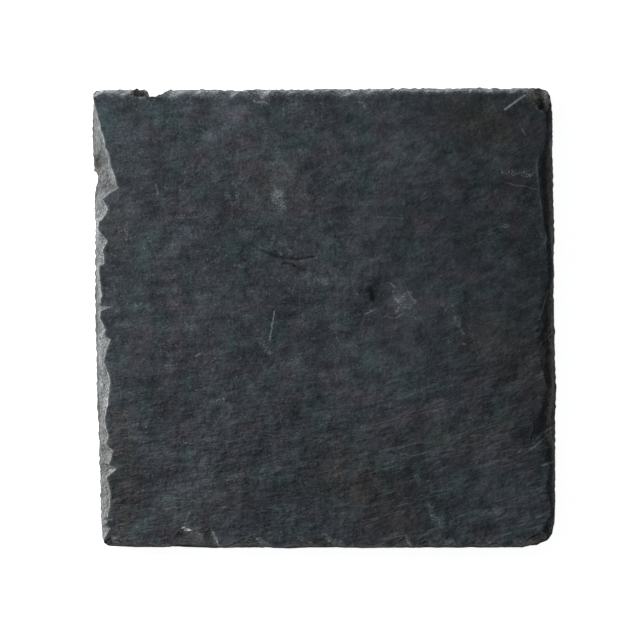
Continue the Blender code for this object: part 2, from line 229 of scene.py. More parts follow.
# The fine relief of the face: thin ledges, grain, crumples and creases, and where it calms down.
LEDGE = 0.045
LEDGES = 3.2
LEDGE_FLAT = 0.85
FACE_GRAIN = 0.05
CRUMPLE = 0.045
CREASE_DEPTH = 0.25
CALM_EDGE = 50.2
CALM_WIDTH = 4.0
CALMEST = 0.3

# How pale the broken rim is on each side, in the order of SIDES, partly painted light: the top side
# is paler, standing in for the light that falls on it, and the right side duller, standing in for
# its shade. Then how brown, how much painted shade darkens its lip, how patchy its paleness, how
# jagged its outline, and how far below the face its own colour is in full. The values blend round
# the corners, and the painted shade of a lip fades inwards.
FRESHNESS_AND_LIGHT = (1.0, 0.95, 0.14, 1.7)
BROWNNESS = (0.0, 0.1, 0.5, 0.1)
LIP_SHADE = (0.0, 1.8, 0.45, 0.0)
PATCHINESS = (0.1, 0.35, 0.7, 0.3)
JAGS = (0.14, 0.02, 0.08, 0.2)
SOFTNESS = (0.05, 0.15, 1.6, 0.08)
CORNER_BLEND = 1.5
LIP_WIDTH = 0.42

# The painted highlight along the inner edge of the rim: how bright it is in the three rows of points along
# it.
CREST_ROWS = (0.3, 1.0, 0.4)

# A pale or dark mark: a line from one point to another, soft to either side. First come the
# dusty smears and bruises.
Mark = namedtuple("Mark", "x0 y0 x1 y1 half strength")
SMEARS = [
    Mark(-47.0, 48.9, -12.0, 48.8, 0.9, 0.78),
    Mark(-12.0, 49.1, 14.0, 49.2, 0.7, 0.72),
    Mark(14.0, 49.4, 42.0, 49.4, 0.5, 0.7),
    Mark(-15.0, 47.4, -12.4, 47.0, 0.5, 0.9),
    Mark(-8.8, 47.0, -8.8, 43.8, 0.5, 0.4),
    Mark(-10.0, 27.2, -9.2, 24.2, 1.3, 0.78),
    Mark(-44.4, 40.2, -41.0, 40.6, 0.5, 0.35),
    Mark(-19.6, 29.2, -18.6, 26.4, 0.6, 0.45),
    Mark(-18.4, 19.4, -17.0, 18.0, 0.6, 0.4),
    Mark(-4.6, 29.0, -3.6, 25.0, 0.7, 0.3),
    Mark(-8.0, 6.6, -6.8, 6.0, 0.6, 0.4),
    Mark(-25.0, -18.2, -21.6, -17.4, 0.5, 0.4),
    Mark(-31.5, -26.6, -29.0, -27.2, 0.7, 0.35),
    Mark(-25.6, -26.2, -24.0, -26.8, 0.7, 0.4),
    Mark(-34.6, -14.0, -29.6, -14.6, 0.5, 0.3),
    Mark(-0.6, -20.6, 0.2, -21.6, 0.5, 0.35),
    Mark(20.6, -6.4, 20.8, -8.0, 0.4, 0.5),
    Mark(17.6, 0.6, 24.0, -0.6, 0.6, 0.4),
    Mark(13.0, -25.9, 13.7, -26.1, 0.4, 0.6),
    Mark(24.6, 40.2, 25.0, 39.4, 0.4, 0.4),
    Mark(6.4, 6.4, 7.0, 5.2, 0.4, 0.5),
    Mark(25.6, 3.0, 27.4, 1.4, 0.6, 0.4),
    Mark(46.4, 20.0, 47.6, 17.6, 0.5, 0.35),
    Mark(4.6, 22.2, 11.4, 22.4, 0.35, 0.35),
    Mark(-24.2, 22.2, -23.4, 20.8, 0.6, 0.5),
    Mark(-43.4, 20.4, -43.0, 17.6, 0.6, 0.5),
    Mark(-16.6, 5.2, -15.2, 6.2, 0.5, 0.45),
    Mark(-4.6, 9.2, 0.4, 8.2, 1.2, 0.42),
    Mark(-13.4, 15.6, -8.4, 16.6, 1.2, 0.3),
    Mark(-13.6, -5.0, -12.0, -7.0, 1.1, 0.5),
    Mark(7.4, 47.0, 9.0, 45.8, 0.6, 0.7),
    Mark(3.0, 49.2, 9.0, 48.6, 0.8, 0.6),
    Mark(15.6, 36.6, 18.8, 35.0, 0.7, 0.35),
    Mark(37.2, 32.4, 44.6, 31.2, 0.9, 0.5),
    Mark(38.2, 19.6, 39.8, 20.2, 0.4, 0.8),
    Mark(1.0, 17.0, 3.4, 15.2, 0.8, 0.35),
    Mark(14.4, 7.2, 15.2, 5.4, 0.4, 0.6),
    Mark(15.4, 4.9, 16.6, 3.2, 0.45, 0.95),
    Mark(16.8, 4.4, 18.4, 5.3, 0.45, 0.9),
    Mark(18.6, 5.4, 19.8, 3.4, 0.4, 0.85),
    Mark(15.8, 2.0, 19.4, 2.7, 0.45, 0.75),
    Mark(17.2, 3.8, 18.2, 3.0, 1.6, 0.35),
    Mark(27.3, 3.6, 28.4, -1.0, 0.6, 0.6),
    Mark(28.6, 0.2, 30.0, -3.4, 0.6, 0.6),
    Mark(15.8, -9.8, 16.2, -11.4, 0.5, 0.5),
    Mark(-24.6, -14.8, -22.0, -15.8, 0.9, 0.35),
    Mark(-16.8, -13.4, -15.4, -16.6, 0.9, 0.35),
    Mark(-26.6, -38.6, -24.4, -37.6, 0.5, 0.4),
    Mark(23.0, -40.2, 23.6, -43.0, 0.7, 0.65),
    Mark(23.6, -43.0, 25.6, -45.2, 0.6, 0.6),
    Mark(19.6, -34.0, 20.4, -35.4, 0.5, 0.5),
    Mark(36.9, -40.0, 39.4, -45.5, 1.2, 0.3),
    Mark(-30.0, -46.6, -27.5, -48.6, 1.8, 0.66),
    Mark(-25.6, -46.8, -24.6, -49.0, 0.6, 0.7),
    Mark(44.8, 49.0, 48.8, 47.2, 1.3, 0.5),
    Mark(0.6, -47.8, 3.6, -49.0, 0.8, 0.8),
    Mark(17.4, -47.6, 18.6, -49.4, 0.6, 0.8),
    Mark(24.6, -47.8, 28.4, -48.8, 0.8, 0.55),
    Mark(32.0, -48.2, 42.0, -48.6, 0.9, 0.5),
    Mark(49.1, 38.2, 49.6, 36.0, 0.5, 0.9),
    Mark(45.6, -26.4, 49.4, -24.6, 1.6, 0.4),
    Mark(46.6, -45.6, 48.8, -47.4, 0.9, 0.4),
]
# Thin pale lines. The two stronger than 1, at the top right and the lower left, are painted glints.
SCRATCHES_AND_GLINTS = [
    Mark(-10.8, 1.7, -11.9, -4.6, 0.13, 0.9),
    Mark(-36.5, 29.2, -36.2, 27.0, 0.15, 0.5),
    Mark(8.8, 0.9, 10.6, 1.9, 0.13, 0.6),
    Mark(13.0, 0.4, 15.4, 0.1, 0.11, 0.5),
    Mark(15.4, 0.1, 17.2, 1.1, 0.13, 0.6),
    Mark(14.2, 7.9, 15.4, 6.8, 0.15, 0.7),
    # A pale scratch with a painted glint on it.
    Mark(39.3, 45.5, 43.6, 48.6, 0.18, 1.25),
    Mark(39.5, 29.5, 46.1, 28.2, 0.13, 0.3),
    Mark(11.4, 22.0, 17.2, 21.8, 0.13, 0.25),
    Mark(43.0, 41.2, 43.7, 40.0, 0.14, 0.4),
    Mark(30.2, -5.5, 30.5, -5.5, 0.2, 0.9),
    Mark(-27.9, -8.1, -26.9, -7.6, 0.14, 0.6),
    # A painted glint.
    Mark(-30.6, -45.5, -29.1, -45.8, 0.24, 3.4),
    Mark(-30.4, -44.6, -29.2, -42.0, 0.12, 0.5),
    Mark(-25.1, -46.6, -23.9, -49.0, 0.3, 0.8),
    Mark(-14.2, -47.8, -11.4, -49.4, 0.25, 0.8),
    Mark(46.7, -0.2, 48.7, 6.3, 0.12, 0.5),
    Mark(46.8, -5.6, 49.8, -3.0, 0.12, 0.45),
    Mark(44.8, -28.4, 50.0, -24.2, 0.2, 0.5),
    Mark(47.0, -25.0, 49.8, -23.6, 0.22, 0.6),
    Mark(47.4, -31.8, 50.0, -31.0, 0.2, 0.6),
    Mark(46.0, -43.2, 49.4, -41.6, 0.14, 0.4),
]
# Brown, earthy clouds in the stone.
EARTHS = [
    Mark(32.0, 44.0, 38.5, 41.0, 5.0, 0.8),
    Mark(36.0, -4.0, 45.0, -11.0, 5.5, 0.6),
    Mark(4.0, -33.0, 14.0, -43.0, 7.0, 0.6),
    Mark(-34.0, -41.0, -20.0, -37.0, 5.5, 0.35),
    Mark(45.4, 49.0, 48.6, 46.4, 2.2, 0.9),
    Mark(-15.0, 27.0, -9.0, 31.0, 4.0, 0.5),
    Mark(-45.0, 22.0, -45.0, 16.0, 3.0, 0.5),
    Mark(20.0, -27.0, 40.0, -24.0, 3.0, 0.5),
    Mark(-45.0, -22.0, -43.0, -44.0, 3.5, 0.6),
    Mark(-49.6, 34.8, -49.2, 33.2, 0.9, 0.35),
]
# Broad clouds, lighter or darker than the rest. The last two are painted shade on the left wall of the dent
# at 13.6, 5.4 and painted light on its right wall.
CLOUDS_AND_DENT_SHADING = [
    Mark(46.0, 44.0, 46.0, -14.0, 15.0, -0.22),
    Mark(26.0, -2.0, 30.0, -12.0, 8.0, -0.17),
    Mark(-2.0, -38.0, 16.0, -36.0, 10.0, -0.22),
    Mark(-30.0, -40.0, -30.0, -20.0, 11.0, 0.12),
    Mark(-10.0, 40.0, 6.0, 34.0, 12.0, 0.17),
    Mark(2.0, 0.0, 6.0, -10.0, 11.0, 0.08),
    Mark(34.0, -36.0, 42.0, -42.0, 8.0, 0.16),
    Mark(-42.0, -13.6, -36.0, -18.0, 3.0, -0.25),
    Mark(41.8, 27.0, 45.5, 23.5, 3.2, -0.3),
    Mark(-22.9, 46.6, -19.8, 44.5, 2.4, 0.4),
    Mark(-25.5, 39.2, -19.0, 44.2, 1.4, 0.45),
    Mark(-31.0, -22.6, -23.0, -27.6, 3.0, 0.15),
    Mark(-8.6, -27.0, -6.5, -29.8, 2.0, 0.2),
    Mark(-5.6, -10.0, -5.6, -13.4, 1.6, 0.15),
    Mark(36.9, -39.6, 39.0, -46.0, 1.5, 0.3),
    # Painted shade and painted light on the two walls of the dent.
    Mark(10.6, 6.0, 12.2, 3.2, 1.8, -0.4),
    Mark(16.0, 5.0, 20.0, 3.0, 2.6, 0.3),
]
# Creases in the face: grooves in the mesh, darkened with painted shade.
CREASES = [
    Mark(-15.6, 16.4, -13.4, 14.6, 0.3, 0.5),
    Mark(-13.4, 14.6, -8.8, 13.2, 0.35, 0.9),
    Mark(-8.8, 13.2, -5.4, 12.9, 0.4, 1.0),
    Mark(-5.4, 12.9, -2.2, 13.5, 0.3, 0.8),
    Mark(-8.8, 12.2, -6.2, 11.4, 0.3, 0.9),
    Mark(-6.2, 11.4, -3.8, 10.4, 0.3, 0.8),
    Mark(-12.8, 17.6, -10.4, 16.6, 0.3, 0.4),
    Mark(10.2, 6.6, 10.8, 4.0, 0.5, 0.6),
]
# Deep shade in hollows of the broken rim, and places where it is less pale.
SHADOWS = [
    Mark(-40.8, 49.0, -38.9, 48.8, 0.85, 1.3),
    Mark(-49.8, 34.5, -49.4, 33.3, 0.45, 0.6),
    Mark(-38.2, 47.9, -35.6, 47.7, 0.35, 0.9),
    Mark(46.8, 48.0, 47.6, 45.8, 0.6, 0.8),
    Mark(48.8, 48.6, 49.4, 47.4, 0.4, 0.6),
    Mark(43.2, -23.2, 43.4, -26.8, 0.9, 0.5),
]
DULLS = [
    Mark(-49.6, 34.8, -49.2, 33.2, 1.2, 0.9),
    Mark(-48.0, 34.8, -47.4, 33.0, 1.4, 0.5),
    Mark(-47.9, 31.6, -47.4, 28.8, 1.5, 0.38),
    Mark(-49.6, 30.0, -49.4, 27.0, 0.8, 0.25),
    Mark(-48.6, 46.0, -47.4, 26.0, 1.8, 0.16),
    Mark(-49.6, 46.0, -49.4, 42.5, 0.8, 0.45),
    Mark(-49.6, 8.0, -49.4, 6.0, 0.8, 0.3),
    Mark(-49.4, -1.0, -49.2, -3.0, 0.8, 0.4),
    Mark(-49.0, -18.0, -48.8, -24.0, 1.0, 0.35),
]

# The stone's colours. Each pair is the darker and the lighter of two that noise blends.
VIOLET = (0.0378, 0.0378, 0.0456, 1)
NEUTRAL = (0.0322, 0.0390, 0.0464, 1)
TEAL = (0.0283, 0.0417, 0.0454, 1)
BROWN = (0.0425, 0.0395, 0.0345, 1)
FRESH_BREAK = ((0.068, 0.074, 0.076, 1), (0.156, 0.164, 0.167, 1))
DULL_BREAK = ((0.015, 0.015, 0.016, 1), (0.062, 0.061, 0.059, 1))
DUST = ((0.09, 0.106, 0.116, 1), (0.20, 0.222, 0.236, 1))
# The painted highlight on the inner edge of the rim.
EDGE_HIGHLIGHT = (0.32, 0.33, 0.33, 1)
# Pale scratches, and the painted glints, which go brighter than this.
SCRATCH_AND_GLINT_COLOUR = (0.19, 0.20, 0.205)
SHADED = (0.006, 0.006, 0.007, 1)
EARTH_TINT = (1.04, 0.94, 0.76, 1)

# Its sheen, and how far its material raises it: strands and steps in the face, layers in breaks.
ROUGHNESS = (0.74, 0.9)
SPECULAR = 0.24
STRAND_RELIEF = 0.11
STEP_RELIEF = 0.018
STRATA_RELIEF = 0.25
BREAK_RELIEF = 2.6

# The noises in its material: the place each is taken at, waves in a millimetre, detail, roughness.
NOISES = {
    "clouds": ("place", 0.09, 6.0, 0.62),
    "tints": ("shifted", 0.17, 5.0, 0.62),
    "patches": ("shifted", 0.24, 4.0, 0.6),
    "mottle": ("along", 0.6, 5.0, 0.65),
    "speckle": ("shifted", 1.7, 4.0, 0.7),
    "grit": ("place", 3.2, 2.0, 0.5),
    "flecks": ("shifted", 2.4, 2.0, 0.5),
    "crumbs": ("place", 2.2, 3.0, 0.6),
    "powder": ("shifted", 1.1, 5.0, 0.75),
    "blotch": ("place", 0.42, 5.0, 0.65),
    "strata": ("layered", 1.0, 4.0, 0.6),
    "dusting": ("place", 3.0, 3.0, 0.6),
    "wobble": ("place", 0.8, 3.0, 0.6),
    "level_streaks": ("level", 2.4, 3.0, 0.55),
    "slanting_streaks": ("slanting", 2.2, 3.0, 0.55),
    "level_strands": ("level", 1.1, 4.0, 0.6),
    "steep_strands": ("steep", 0.9, 4.0, 0.6),
    "scrapes": ("slanting", 1.2, 4.0, 0.6),
    "roughening": ("along", 1.5, 4.0, 0.62),
}

# The camera looks straight down. Width is what it sees across the picture at MARK_HEIGHT.
PICTURE_WIDTH = 139.2
MARK_HEIGHT = 4.0
AIM = (-0.93, -0.29)
DISTANCE = 900.0
SENSOR = 36.0

# The studio, in metres and watts: a low soft lamp on the left, and a white table that glows.
KEY_PLACE = (-0.33, 0.11, 0.13)
KEY_SIZE = 0.14
KEY_POWER = 2.4
TABLE_HALF = 3.0
TABLE_GLOW = 0.88
SURROUND_LIGHT = 0.15

# How many values a noise has before it repeats, how far smears stray from their lines and in
# which waves, and from which angle an edge of the mesh looks sharp.
LATTICE = 64
SMEAR_WARP = 0.4
WARP_LENGTH = 1.3
SHARP_ANGLE = math.radians(38)


def value_noise(x, y, length, seed):
    """Smooth noise from -1 to 1 over a plane, with bumps about one length apart."""
    lattice = np.random.default_rng(seed).uniform(-1.0, 1.0, (LATTICE, LATTICE))
    across = np.asarray(x, float) / length + 17.3
    up = np.asarray(y, float) / length + 29.1
    column = np.floor(across).astype(int)
    row = np.floor(up).astype(int)
    fx = across - column
    fy = up - row
    fx = fx * fx * (3 - 2 * fx)
    fy = fy * fy * (3 - 2 * fy)
    row, above = row % LATTICE, (row + 1) % LATTICE
    column, beside = column % LATTICE, (column + 1) % LATTICE
    low = lattice[row, column] * (1 - fx)
    low += lattice[row, beside] * fx
    high = lattice[above, column] * (1 - fx)
    high += lattice[above, beside] * fx
    return low * (1 - fy) + high * fy


def inset_from(side, x, y):
    """How far inside a side's trim line a point lies."""
    (x0, y0), (x1, y1) = side.start, side.end
    return ((x0 - x) * (y1 - y0) + (y - y0) * (x1 - x0)) / np.hypot(x1 - x0, y1 - y0)


def patch_share(patch, x, y, seed):
    """1 well inside a patch, 0 outside it, with a ragged edge between."""
    span = min(patch.half_x, patch.half_y)
    ragged = value_noise(x, y, span * 0.9, seed) + 0.5 * value_noise(x, y, span * 0.35, seed + 1)
    radius = np.hypot((x - patch.x) / patch.half_x, (y - patch.y) / patch.half_y)
    inside = (1.0 - radius + RAGGEDNESS * ragged) * span
    share = np.clip(inside / patch.edge + 0.5, 0.0, 1.0)
    return share * share * (3 - 2 * share)


def face_height(x, y):
    """The riven upper face: a low swell, with a few patches a little up or down."""
    height = THICKNESS + SWELL * value_noise(x, y, SWELL_LENGTH, SEED)
    height += 0.5 * SWELL * value_noise(x, y, SWELL_LENGTH * 0.4, SEED + 1)
    for number, patch in enumerate(PATCHES):
        height += patch.height * patch_share(patch, x, y, SEED + 20 + number)
    return height


def underside_height(x, y):
    """The underside: flat, but for its thin scars."""
    height = np.zeros(np.shape(x))
    for number, patch in enumerate(UNDERSIDE_PATCHES):
        height += patch.height * patch_share(patch, x, y, SEED + 60 + number)
    return height


def scar_height(width, inset, lip, top, curve, round_off):
    """A scar's height at an inset from the trim line, and infinity past its inner edge."""
    share = np.clip(inset / np.maximum(width, 1e-6), 0.0, 1.0) ** curve
    risen = 1.0 - (1.0 - share) ** round_off
    return np.where(inset < width, lip + (top - lip) * risen, np.inf)


def flake_height(flake, number, x, y, face):
    """The scar left by one flake."""
    inset = inset_from(flake.side, x, y)
    along = (y if flake.side.axis else x) - flake.lean * inset
    rise = (along - flake.start) / (flake.crest - flake.start)
    fall = (flake.end - along) / (flake.end - flake.crest)
    shape = np.clip(np.minimum(rise, fall), 0.0, 1.0) ** flake.bow
    ripple = 1.0 + 0.06 * value_noise(along, np.full_like(along, 3.0 * number), 1.3, SEED + 3)
    lip = THICKNESS * max(LOWEST_LIP, SHALLOW_LIP - LIP_PER_REACH * flake.reach)
    curve = SCAR_CURVE + CURVE_SPREAD * np.sin(2.4 * number)
    width = flake.reach * shape * ripple
    return scar_height(width, inset, lip, face - flake.side.step, curve, flake.side.round)


def bevel_height(side, number, x, y, face):
    """The narrow bevel that runs all along a side."""
    inset = inset_from(side, x, y)
    along = y if side.axis else x
    lane = np.full_like(along, 30.0 * number)
    waver = value_noise(along, lane, 4.0, SEED + 4) + 0.6 * value_noise(along, lane, 1.5, SEED + 5)
    lip = THICKNESS * (BEVEL_LIP + 0.06 * waver)
    opened = np.hypot(x - side.start[0], y - side.start[1]) / side.opening
    width = side.bevel * np.clip(opened, 0.2, 1.0) * (1.0 + 0.35 * waver)
    return scar_height(width, inset, lip, face - BEVEL_STEP, 1.0, side.round)


def upper_height(x, y):
    """The upper surface anywhere on the slab: the face, or the lowest scar and its hollows."""
    face = face_height(x, y)
    height = face
    for number, side in enumerate(SIDES):
        height = np.minimum(height, bevel_height(side, number, x, y, face))
    for number, flake in enumerate(FLAKES):
        height = np.minimum(height, flake_height(flake, number, x, y, face))
    for number, pit in enumerate(PITS):
        height = height + pit.height * patch_share(pit, x, y, SEED + 40 + number)
    return height


def rough(x, y, length, seed, octaves=3):
    """Noise with finer noise on it, from about -1 to 1."""
    total = np.zeros(np.shape(x))
    size = 1.0
    for octave in range(octaves):
        total = total + size * value_noise(x, y, length, seed + octave)
        length *= 0.5
        size *= 0.6
    return total


def by_side(values, x, y):
    """A value for each side, blended round the corners."""
    near = [np.exp(-np.maximum(inset_from(side, x, y), 0.0) / CORNER_BLEND) for side in SIDES]
    return sum(value * share for value, share in zip(values, near)) / (sum(near) + 1e-9)


def along_mark(mark, x, y):
    """1 on a mark, falling to 0 a few widths away."""
    reach = np.array([mark.x1 - mark.x0, mark.y1 - mark.y0])
    share = ((x - mark.x0) * reach[0] + (y - mark.y0) * reach[1]) / max(reach @ reach, 1e-6)
    share = np.clip(share, 0.0, 1.0)
    away = np.hypot(x - mark.x0 - share * reach[0], y - mark.y0 - share * reach[1])
    return np.exp(-((away / mark.half) ** 2))


def ledges(x, y):
    """Thin layers of the riven face, each ending in a ragged little step."""
    field = value_noise(0.45 * x + 0.12 * y, y, 8.0, SEED + 100)
    field = field + 0.45 * rough(0.6 * x, y, 3.0, SEED + 101)
    level = field * LEDGES
    part = level - np.floor(level)
    return np.floor(level) + np.clip((part - LEDGE_FLAT) / (1 - LEDGE_FLAT), 0.0, 1.0)


def fine_face(x, y):
    """The upper face with its ledges, crumples and grain, calm where it meets the rim."""
    to_edge = CALM_EDGE - np.maximum(np.abs(x), np.abs(y))
    calm = np.clip(to_edge / CALM_WIDTH, CALMEST, 1.0)
    strength = 1.0 + 0.6 * rough(x, y, 14.0, SEED + 105, 2)
    relief = FACE_GRAIN * rough(0.55 * x, y, 2.4, SEED + 110)
    relief = relief + CRUMPLE * rough(0.5 * (x - y), 0.7 * (x + y), 5.0, SEED + 115, 2)
    relief = LEDGE * ledges(x, y) + strength * relief
    for crease in CREASES:
        relief = relief - CREASE_DEPTH * crease.strength * along_mark(crease, x, y)
    return face_height(x, y) + calm * relief


def fine_upper(x, y):
    """The upper surface, with layers and grain wherever it is broken."""
    face = face_height(x, y)
    height = upper_height(x, y)
    drop = np.clip((face - height) / FULL_DEPTH, 0.0, 1.0)
    wander = 0.6 * rough(x, y, 2.2, SEED + 120)
    level = height / LAYER + wander
    part = level - np.floor(level)
    riser = np.clip((part - LAYER_FLAT) / (1 - LAYER_FLAT), 0.0, 1.0)
    stepped = (np.floor(level) + riser - wander) * LAYER
    near = np.minimum.reduce([inset_from(side, x, y) for side in SIDES])
    layering = LAYERING * drop * np.clip(near / LAYERS_FADE, 0.0, 1.0)
    height = height + layering * (stepped - height + 0.5 * LAYER)
    height = height + drop * RIM_GRAIN * rough(x, y, 1.1, SEED + 130, 4)
    height = height - SPILL * np.maximum(-near, 0.0)
    return np.where(drop > 0, np.minimum(height, face - LEAST_DEPTH), fine_face(x, y))


def walk_round():
    """Points one column gap apart round the nibbled outline, and the way in from each."""
    corners = np.array(OUTLINE + OUTLINE[:1])
    travelled = np.append(0.0, np.cumsum(np.hypot(*np.diff(corners, axis=0).T)))
    count = round(travelled[-1] / COLUMN_GAP)
    place = np.arange(count) * travelled[-1] / count
    points = np.stack([np.interp(place, travelled, corners[:, axis]) for axis in (0, 1)], 1)
    ways = np.clip(points, -CORE, CORE) - points
    ways /= np.hypot(*ways.T)[:, None]
    nibble = value_noise(place, np.zeros(count), NIBBLE_LENGTHS[0], SEED + 6)
    nibble += 0.6 * value_noise(place, np.zeros(count), NIBBLE_LENGTHS[1], SEED + 7)
    jag = value_noise(place, np.zeros(count), JAG_LENGTHS[0], SEED + 17)
    jag += 0.7 * value_noise(place, np.zeros(count), JAG_LENGTHS[1], SEED + 18)
    jag *= by_side(JAGS, *points.T)
    fade = np.minimum(1.0, np.minimum(place, travelled[-1] - place) / SEAM_FADE)
    return points - ways * ((NIBBLE * nibble + jag) * fade)[:, None], ways, place


def scar_depths(points, ways):
    """How far the broken rim goes in from each point before the face begins."""
    depths = np.arange(0.0, DEEPEST, RAY_STEP)
    x = points[:, :1] + ways[:, :1] * depths
    y = points[:, 1:] + ways[:, 1:] * depths
    broken = upper_height(x, y) < face_height(x, y) - LEAST_DEPTH
    last = broken.shape[1] - 1 - np.argmax(broken[:, ::-1], axis=1)
    return np.where(broken.any(axis=1), depths[last] + RAY_STEP, NARROWEST)


def rim():
    """Rows of points round the slab, from the face's edge out, down the wall and in below."""
    points, ways, place = walk_round()
    depth = scar_depths(points, ways)
    waver = EDGE_WAVER * value_noise(place, 0 * place, 0.5, SEED + 140)
    depth = depth + waver * (depth > NARROWEST + EDGE_WAVER)

    def row(inset, height):
        flat = points + ways * inset[:, None]
        return np.column_stack([flat, height(*flat.T)])

    edge = np.minimum(EDGE_WIDTH, 0.3 * depth)
    rows = [row(depth, fine_face)]
    rows += [row((depth - edge) * share, fine_upper) for share in np.linspace(1, 0, RIM_STEPS)]
    lip = rows[-1][:, 2]
    coarse_lip = upper_height(*points.T)
    bulge = value_noise(place, coarse_lip, 1.9, SEED + 8)
    foot = FOOT_HEIGHT * (1.0 + 0.4 * value_noise(place, coarse_lip, 3.1, SEED + 9))
    tuck = FOOT_INSET + WALL_ROUGHNESS * bulge
    for share in np.linspace(0, 1, WALL_STEPS + 1)[1:]:
        height = lip + (foot - lip) * share
        inset = WALL_ROUGHNESS * (1.0 + bulge) * min(1.0, 2 * share)
        inset = inset + (tuck - WALL_ROUGHNESS * (1.0 + bulge)) * max(0.0, 2 * share - 1)
        grain = rough(0.7 * place, 2.2 * height, 0.9, SEED + 150)
        layers = value_noise(0.1 * place, 4.0 * height, 1.0, SEED + 155)
        fade = np.sin(math.pi * min(share, 0.5))
        inset = inset + WALL_GRAIN * fade * (1.0 + grain + 0.8 * layers)
        inset = np.maximum(inset, 0.02)
        rows.append(row(inset, lambda x, y, height=height: height))
    bevel = FOOT_BEVEL * (1.0 + 0.5 * value_noise(place, coarse_lip, 4.3, SEED + 10))
    ragged = 0.1 * rough(place, 0 * place, 0.8, SEED + 160)
    rows.append(row(tuck + (0.5 + ragged) * bevel, lambda x, y: 0.42 * foot))
    rows.append(row(tuck + bevel, lambda x, y: 0.0 * x))
    return rows


def inside(border, points, margin):
    """Which points lie within a closed border and at least a margin away from its points."""
    crossings = np.zeros(len(points), int)
    near = np.full(len(points), np.inf)
    for (x0, y0), (x1, y1) in zip(border, np.roll(border, -1, axis=0)):
        near = np.minimum(near, (points[:, 0] - x0) ** 2 + (points[:, 1] - y0) ** 2)
        spans = (y0 > points[:, 1]) != (y1 > points[:, 1])
        if y1 != y0:
            cut = x0 + (points[:, 1] - y0) * (x1 - x0) / (y1 - y0)
            crossings += spans & (points[:, 0] < cut)
    return (crossings % 2 == 1) & (near > margin * margin)


def fill(border, gap, height):
    """Points and triangles that fill a border; the border's own points come first."""
    columns = np.arange(-LID_REACH, LID_REACH, gap)
    x, y = np.meshgrid(columns, np.arange(-LID_REACH, LID_REACH, ROW_SHARE * gap))
    x[1::2] += 0.5 * gap
    shake = np.random.default_rng(SEED).uniform(-JITTER, JITTER, (2,) + x.shape) * gap
    spread = np.column_stack([(x + shake[0]).ravel(), (y + shake[1]).ravel()])
    core = np.abs(spread).max(axis=1) < CORE
    rim_side = spread[~core]
    spread = np.vstack([spread[core], rim_side[inside(border, rim_side, CLEARANCE * gap)]])
    flat = np.vstack([border, spread])
    made = delaunay_2d_cdt(flat.tolist(), [], [list(range(len(border)))], 1, 1e-6)
    source = [origins[0] for origins in made[3]]
    points = np.column_stack([flat, height(*flat.T)])
    return points, [[source[corner] for corner in face] for face in made[2]]


def slab_mesh():
    """The vertices and triangles of the slab, and for each vertex how broken it is and how near
    it is to the inner edge, which gets a painted highlight, and to the lip of the rim, which gets
    painted shade, from 0 to 1."""
    rows = rim()
    count = len(rows[0])
    vertices = np.vstack(rows)
    faces = []
    column = np.arange(count)
    after = (column + 1) % count
    for band in range(len(rows) - 1):
        a = band * count + column
        b = band * count + after
        faces += np.column_stack([a, a + count, b + count]).tolist()
        faces += np.column_stack([a, b + count, b]).tolist()
    broken = np.ones(len(vertices))
    broken[:count] = 0.0
    broken[-count:] = 0.0
    # The rows along the rim's inner edge carry its painted highlight, and nearness to the lip its painted
    # shade.
    crest = np.zeros(len(vertices))
    crest[:len(CREST_ROWS) * count] = np.repeat(CREST_ROWS, count)
    edge = np.tile(rows[RIM_STEPS][:, :2], (len(rows), 1))
    lip = np.exp(-np.hypot(*(vertices[:, :2] - edge).T) / LIP_WIDTH)
    lids = ((0, FACE_GAP, fine_face, 1), (len(rows) - 1, UNDERSIDE_GAP, underside_height, -1))
    for band, gap, height, up in lids:
        points, triangles = fill(rows[band][:, :2], gap, height)
        shift = len(vertices) - count
        vertices = np.vstack([vertices, points[count:]])
        spare = np.zeros(len(points) - count)
        broken, crest, lip = (np.append(each, spare) for each in (broken, crest, lip))
        for triangle in triangles:
            corners = [band * count + i if i < count else shift + i for i in triangle]
            faces.append(corners[::up])
    return vertices, faces, broken, crest, lip


def strongest(marks, x, y):
    """The strongest of several marks at each point."""
    total = np.zeros(len(x))
    for mark in marks:
        total = np.maximum(total, mark.strength * along_mark(mark, x, y))
    return total


